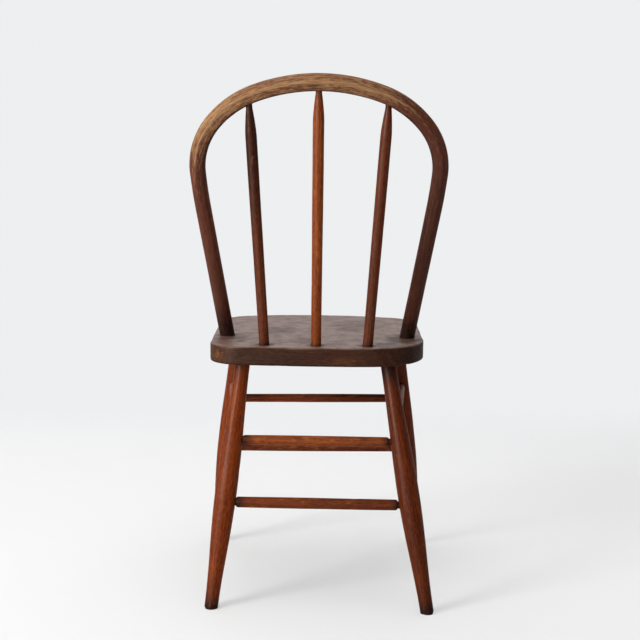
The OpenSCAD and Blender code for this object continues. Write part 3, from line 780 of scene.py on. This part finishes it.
def woodFinish(name, look):
    # stained and varnished wood with its wear, from the values of one finish
    material = bpy.data.materials.new(name)
    material.use_nodes = True
    tree = material.node_tree
    tree.nodes.clear()
    grain = put(tree, "Attribute", attribute_name="grain").outputs["Vector"]
    rub = put(tree, "Attribute", attribute_name="rub").outputs["Fac"]
    # this track holds real dirt and painted shade alike
    grimeAndShade = put(tree, "Attribute", attribute_name="grimeAndShade").outputs["Fac"]
    figure = useGroup(tree, woodFigure, {
        "Grain": grain, "Streak Width": look["streak"][0], "Streak Length": look["streak"][1],
        "Ring Width": look["ring"], "Wander": look["wander"]})
    bare = useGroup(tree, rubbedSpots, {
        "Grain": grain, "Rub": rub, "Spot Size": look["spot"][0], "Spot Length": look["spot"][1],
        "Softness": look["softness"]})["Bare"]
    scratches = useGroup(tree, fineScratches, {
        "Place": grain, "Length": look["scratch"][0], "Gap": look["scratch"][1],
        "Cover": look["scratch"][2]})["Scratches"]
    dust = useGroup(tree, dustFilm, {
        "Place": grain, "Amount": look["dust"], "Patch Size": look["dustPatch"],
        "Thinnest": look["dustThin"]})["Dust"]

    # stain: dark and light streaks, broad patches, late wood and pores darker still
    stain = blendTones(tree, figure["Streaks"], tone(*look["dark"]), tone(*look["light"]))
    patches = remap(tree, speckle(tree, stretched(tree, grain, 0.022, 0.13), 3.0, 0.55), 0.38, 0.64)
    stain = blendTones(tree, times(tree, patches, look["patchiness"]), stain, tone(*look["patch"]))
    rings = times(tree, figure["Rings"], look["ringDepth"])
    stain = blendTones(tree, rings, stain, tone(*look["late"]))
    flecks = times(tree, figure["Flecks"], look["fleck"])
    stain = blendTones(tree, flecks, stain, tone(*look["light"]))
    pores = times(tree, figure["Pores"], look["poreDepth"])

    # bare wood keeps a trace of the figure
    raw = blendTones(tree, figure["Streaks"], tone(*look["bareDark"]), tone(*look["bare"]))
    colour = blendTones(tree, times(tree, bare, look["bareness"]), stain, raw)
    colour = blendTones(tree, pores, colour, tone(*look["pore"]))

    # dirt and painted shade in patches, dust where there is neither, and scratches through both
    smudges = remap(tree, speckle(tree, stretched(tree, grain, 0.005, 0.012)), 0.25, 0.6, 0.55, 1.0)
    dirtAndShade = times(tree, grimeAndShade, smudges)
    colour = blendTones(tree, times(tree, dirtAndShade, look["dirtAndShadeStrength"]), colour, tone(*look["dirtAndShade"]))
    dust = times(tree, dust, minus(tree, 1.0, times(tree, dirtAndShade, 0.85)))
    colour = blendTones(tree, dust, colour, tone(*look["dustTone"]))
    scored = times(tree, scratches, look["scratchTone"])
    colour = blendTones(tree, scored, colour, tone(*look["scratched"]))

    # varnish: glossy where it is whole, dull where it is worn, dirty or dusty
    cloud = remap(tree, speckle(tree, stretched(tree, grain, 0.014, 0.04)), 0.3, 0.7, -0.06, 0.08)
    rough = plus(tree, look["rough"], cloud)
    for mask, label in ((bare, "bareRough"), (dirtAndShade, "dirtRough"), (dust, "dustRough"),
                        (scratches, "scratchRough")):
        rough = calc(tree, "ADD", rough, times(tree, mask, look[label]), clamp=True)
    whole = minus(tree, 1.0, times(tree, bare, 0.8))
    coat = times(tree, whole, look["coat"])      # the film of wax under the dust shines aslant
    coat = calc(tree, "ADD", coat, times(tree, dust, look["dustShine"]), clamp=True)

    # relief: streaks stand up; pores, scratches and worn places lie lower
    height = times(tree, figure["Streaks"], look["streakHigh"])
    for mask, label in ((figure["Pores"], "poreDeep"), (scratches, "scratchDeep"), (bare, "bareDeep")):
        height = minus(tree, height, times(tree, mask, look[label]))
    pressed = put(tree, "Bump", {"Height": height, "Strength": look["relief"],
                                 "Distance": look["reliefDepth"]}).outputs["Normal"]
    shader = put(tree, "BsdfPrincipled", {"Base Color": colour, "Roughness": rough, "Coat Weight": coat,
                                          "Normal": pressed, "Coat Roughness": look["coatRough"],
                                          "Specular IOR Level": look["shine"]})
    output = tree.nodes.new("ShaderNodeOutputMaterial")
    tree.links.new(shader.outputs[0], output.inputs["Surface"])
    return material


commonLook = {
    "streak": (0.0028, 0.11), "ring": 0.0062, "wander": 0.005,      # streaks are width and length
    "ringDepth": 0.4, "poreDepth": 0.5, "fleck": 0.5, "patchiness": 0.7,
    "spot": (0.005, 0.02), "softness": 0.22, "bareness": 0.85,
    "scratch": (0.03, 0.004, 0.45),     # length, gap between them and how much is covered
    "scratchTone": 0.25, "scratched": (150, 96, 60),
    "dust": 0.02, "dustPatch": 0.02, "dustThin": 0.45, "dustTone": (150, 128, 112), "dustShine": 0.0,
    # the dark colour and its strength below serve both real dirt and painted shade
    "dirtAndShade": (20, 9, 6), "dirtAndShadeStrength": 0.9, "pore": (30, 11, 5),
    "rough": 0.46, "bareRough": 0.12, "dirtRough": 0.12, "dustRough": 0.25, "scratchRough": 0.12,
    "coat": 0.02, "coatRough": 0.3, "shine": 0.05,
    "relief": 0.5, "reliefDepth": 0.0004,
    "streakHigh": 0.25, "poreDeep": 0.5, "scratchDeep": 0.6, "bareDeep": 0.3,
}
seatLook = dict(commonLook, dark=(46, 22, 12), light=(92, 54, 36), patch=(62, 35, 23), late=(38, 19, 12),
                bare=(150, 96, 56), bareDark=(104, 62, 36), streak=(0.0026, 0.09), ring=0.008, softness=0.34,
                dust=0.52, dustPatch=0.022, dustThin=0.55, dustTone=(136, 110, 98), dustShine=1.6,
                coatRough=0.45,
                scratch=(0.018, 0.0034, 0.7), scratchTone=0.6, scratched=(52, 30, 21))
bowLook = dict(commonLook, dark=(60, 28, 19), light=(112, 62, 45), patch=(78, 42, 31), late=(50, 23, 15),
               bare=(200, 154, 108), bareDark=(116, 80, 51), streak=(0.0018, 0.03), spot=(0.0026, 0.011),
               softness=0.36, fleck=0.25, rough=0.5, dust=0.16, dustTone=(158, 126, 104), ringDepth=0.2)
spindleLook = dict(commonLook, dark=(84, 34, 13), light=(160, 80, 33), patch=(98, 42, 16), late=(66, 26, 10),
                   bare=(190, 116, 60), bareDark=(140, 74, 34), streak=(0.0022, 0.12))
darkSpindleLook = dict(spindleLook, dark=(58, 25, 13), light=(116, 56, 29), patch=(64, 28, 16),
                       late=(44, 18, 10))
brownSpindleLook = dict(spindleLook, dark=(58, 24, 12), light=(112, 53, 28), patch=(66, 30, 15),
                        late=(46, 19, 9))
legLook = dict(commonLook, dark=(62, 22, 6), light=(152, 66, 18), patch=(88, 33, 9), late=(50, 18, 5),
               bare=(178, 88, 30), bareDark=(126, 56, 18), streak=(0.0026, 0.14))
# a shaded copy of the leg finish for the right legs: painted shade away from the lamp
shadedLegLook = dict(legLook, dark=(46, 16, 4), light=(114, 46, 12), patch=(62, 23, 7), late=(38, 14, 4))
stretcherLook = dict(commonLook, dark=(90, 39, 15), light=(170, 88, 40), patch=(112, 50, 21),
                     late=(70, 29, 11), bare=(192, 120, 66), bareDark=(144, 80, 38), streak=(0.0022, 0.12))
# a shaded copy of the stretcher finish: painted shade
shadedStretcherLook = dict(stretcherLook, dark=(68, 27, 11), light=(134, 62, 27), patch=(80, 35, 15),
                         late=(54, 22, 9))

seatWood = woodFinish("seatWood", seatLook)
bowWood = woodFinish("bowWood", bowLook)
spindleWood = {1: woodFinish("darkSpindleWood", darkSpindleLook), 0: woodFinish("spindleWood", spindleLook),
               -1: woodFinish("brownSpindleWood", brownSpindleLook)}
# the right legs take the shaded copy: painted shade
legWood = {"left": woodFinish("legWood", legLook), "right": woodFinish("shadedLegWood", shadedLegLook)}
stretcherWood = woodFinish("stretcherWood", stretcherLook)
shadedStretcherWood = woodFinish("shadedStretcherWood", shadedStretcherLook)
print("finishes made")


def settlePiece(piece, material, node):
    piece.data.materials.append(material)
    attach(piece, "root")
    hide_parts(node)


settlePiece(buildSeat(seatBoard), seatWood, "seat")
print("seat done")
settlePiece(buildBow(bowStick), bowWood, "bow")
print("bow done")
for name, side, seed, fade in (("spindle_left", 1, 41, 0.06), ("spindle_centre", 0, 42, 0.28),
                               ("spindle_right", -1, 43, 0.16)):
    settlePiece(buildSpindle(name + "_turned", side, seed, fade), spindleWood[side], name)
print("spindles done")
for seed, name in enumerate(legPlaces, 61):
    settlePiece(buildLeg(name, seed), legWood[name.split("_")[-1]], name)
print("legs done")
for seed, name in enumerate(stretcherPlaces, 81):
    # the front, lower rear and right stretchers take the shaded copy: painted shade
    wood = stretcherWood if "rear_upper" in name or "left" in name else shadedStretcherWood
    settlePiece(buildStretcher(name, seed), wood, name)
print("stretchers done")


studio = {
    "wallAt": -1.6, "cove": 0.12, "reach": 6.0, "blend": (0.9, 0.05),     # floor turns into wall over this
    "floor": (240, 240, 240), "wall": (238, 239, 240),
    "floorGlow": 0.45,      # how much of its plain colour the floor shows under the shadows
    "window": {"place": (2.6, 2.1, 1.8), "size": 1.1, "power": 84, "colour": (1.0, 0.99, 0.98)},
    "ceiling": {"place": (0.2, 0.4, 3.6), "size": 4.0, "power": 80, "colour": (1.0, 1.0, 1.0)},
    "strip": {"place": (2.0, 2.3, 0.9), "size": 1.0, "power": 280, "colour": (1.0, 0.85, 0.74)},
    "aim": (0, 0, 0.45),    # all lamps point at the seat
    "sky": {"base": 0.04, "left": 0.26, "up": 0.22, "front": 0.12},   # brighter to these sides
    "camera": (-0.0142, 2.5224, 0.8401), "lens": 80.97,
    "turn": 0.0039, "tilt": 0.1471, "roll": 0.0129,
}


def buildStage(stage):
    cove, wall, reach = stage["cove"], stage["wallAt"], stage["reach"]
    turns = np.linspace(0, math.pi / 2, 16)
    bend = [(wall + cove - cove * math.sin(t), cove - cove * math.cos(t)) for t in turns]
    line = [(reach, 0.0)] + bend + [(wall, reach)]
    points = [(x, y, z) for x in (reach, -reach) for y, z in line]
    n = len(line)
    mesh = bpy.data.meshes.new("studio_sweep")
    mesh.from_pydata(points, [], [(i, i + 1, n + i + 1, n + i) for i in range(n - 1)])
    mesh.shade_smooth()
    sweep = bpy.data.objects.new("studio_sweep", mesh)
    bpy.context.scene.collection.objects.link(sweep)
    material = bpy.data.materials.new("studioPaint")
    material.use_nodes = True
    tree = material.node_tree
    tree.nodes.clear()
    where = put(tree, "NewGeometry").outputs["Position"]
    apart = put(tree, "SeparateXYZ", {0: where}).outputs
    rise = remap(tree, apart["Y"], wall + stage["blend"][0], wall + stage["blend"][1])
    colour = blendTones(tree, rise, tone(*stage["floor"]), tone(*stage["wall"]))
    cloth = put(tree, "BsdfDiffuse", {"Color": colour}).outputs[0]
    glow = put(tree, "Emission", {"Color": colour, "Strength": 1.0}).outputs[0]
    share = times(tree, plainRays(tree), calc(tree, "MAXIMUM", rise, stage["floorGlow"]))
    mixed = put(tree, "MixShader", {0: share, 1: cloth, 2: glow}).outputs[0]
    output = tree.nodes.new("ShaderNodeOutputMaterial")
    tree.links.new(mixed, output.inputs["Surface"])
    mesh.materials.append(material)


def buildLight(stage):
    for name in ("window", "ceiling", "strip"):
        values = stage[name]
        lamp = bpy.data.lights.new(name + "_light", "AREA")
        lamp.shape = "SQUARE"
        lamp.size = values["size"]
        lamp.energy = values["power"]
        lamp.color = values["colour"]
        holder = bpy.data.objects.new(name + "_light", lamp)
        holder.location = values["place"]
        holder.visible_diffuse = name != "strip"     # the strip only draws highlights
        aim = Vector(stage["aim"]) - Vector(values["place"])
        holder.rotation_euler = aim.to_track_quat("-Z", "Y").to_euler()
        bpy.context.scene.collection.objects.link(holder)
    world = bpy.data.worlds.new("studio_sky")
    world.use_nodes = True
    tree, sky = world.node_tree, stage["sky"]
    way = put(tree, "SeparateXYZ", {0: put(tree, "TexCoord").outputs["Generated"]}).outputs
    glow = plus(tree, sky["base"], remap(tree, way["X"], -0.1, 0.9, 0.0, sky["left"]))
    glow = plus(tree, glow, remap(tree, way["Z"], 0.0, 0.9, 0.0, sky["up"]))
    glow = plus(tree, glow, remap(tree, way["Y"], 0.1, -0.8, 0.0, sky["front"]))
    # past the floor's end it looks like the wall
    glow = put(tree, "Mix", {0: plainRays(tree), 2: glow, 3: 1.0}).outputs[0]
    tree.links.new(glow, tree.nodes["Background"].inputs["Strength"])
    tree.nodes["Background"].inputs["Color"].default_value = tone(*stage["wall"])
    bpy.context.scene.world = world


def setCamera(stage):
    lens = bpy.data.cameras.new("shot")
    lens.lens = stage["lens"]
    lens.sensor_width = 36
    camera = bpy.data.objects.new("shot", lens)
    camera.matrix_world = (Matrix.Translation(stage["camera"])
                           @ Matrix.Rotation(math.pi + stage["turn"], 4, "Z")
                           @ Matrix.Rotation(math.pi / 2 - stage["tilt"], 4, "X")
                           @ Matrix.Rotation(stage["roll"], 4, "Z"))
    bpy.context.scene.collection.objects.link(camera)
    bpy.context.scene.camera = camera


buildStage(studio)
buildLight(studio)
setCamera(studio)
bpy.context.scene.view_settings.view_transform = "Standard"
print("studio done")
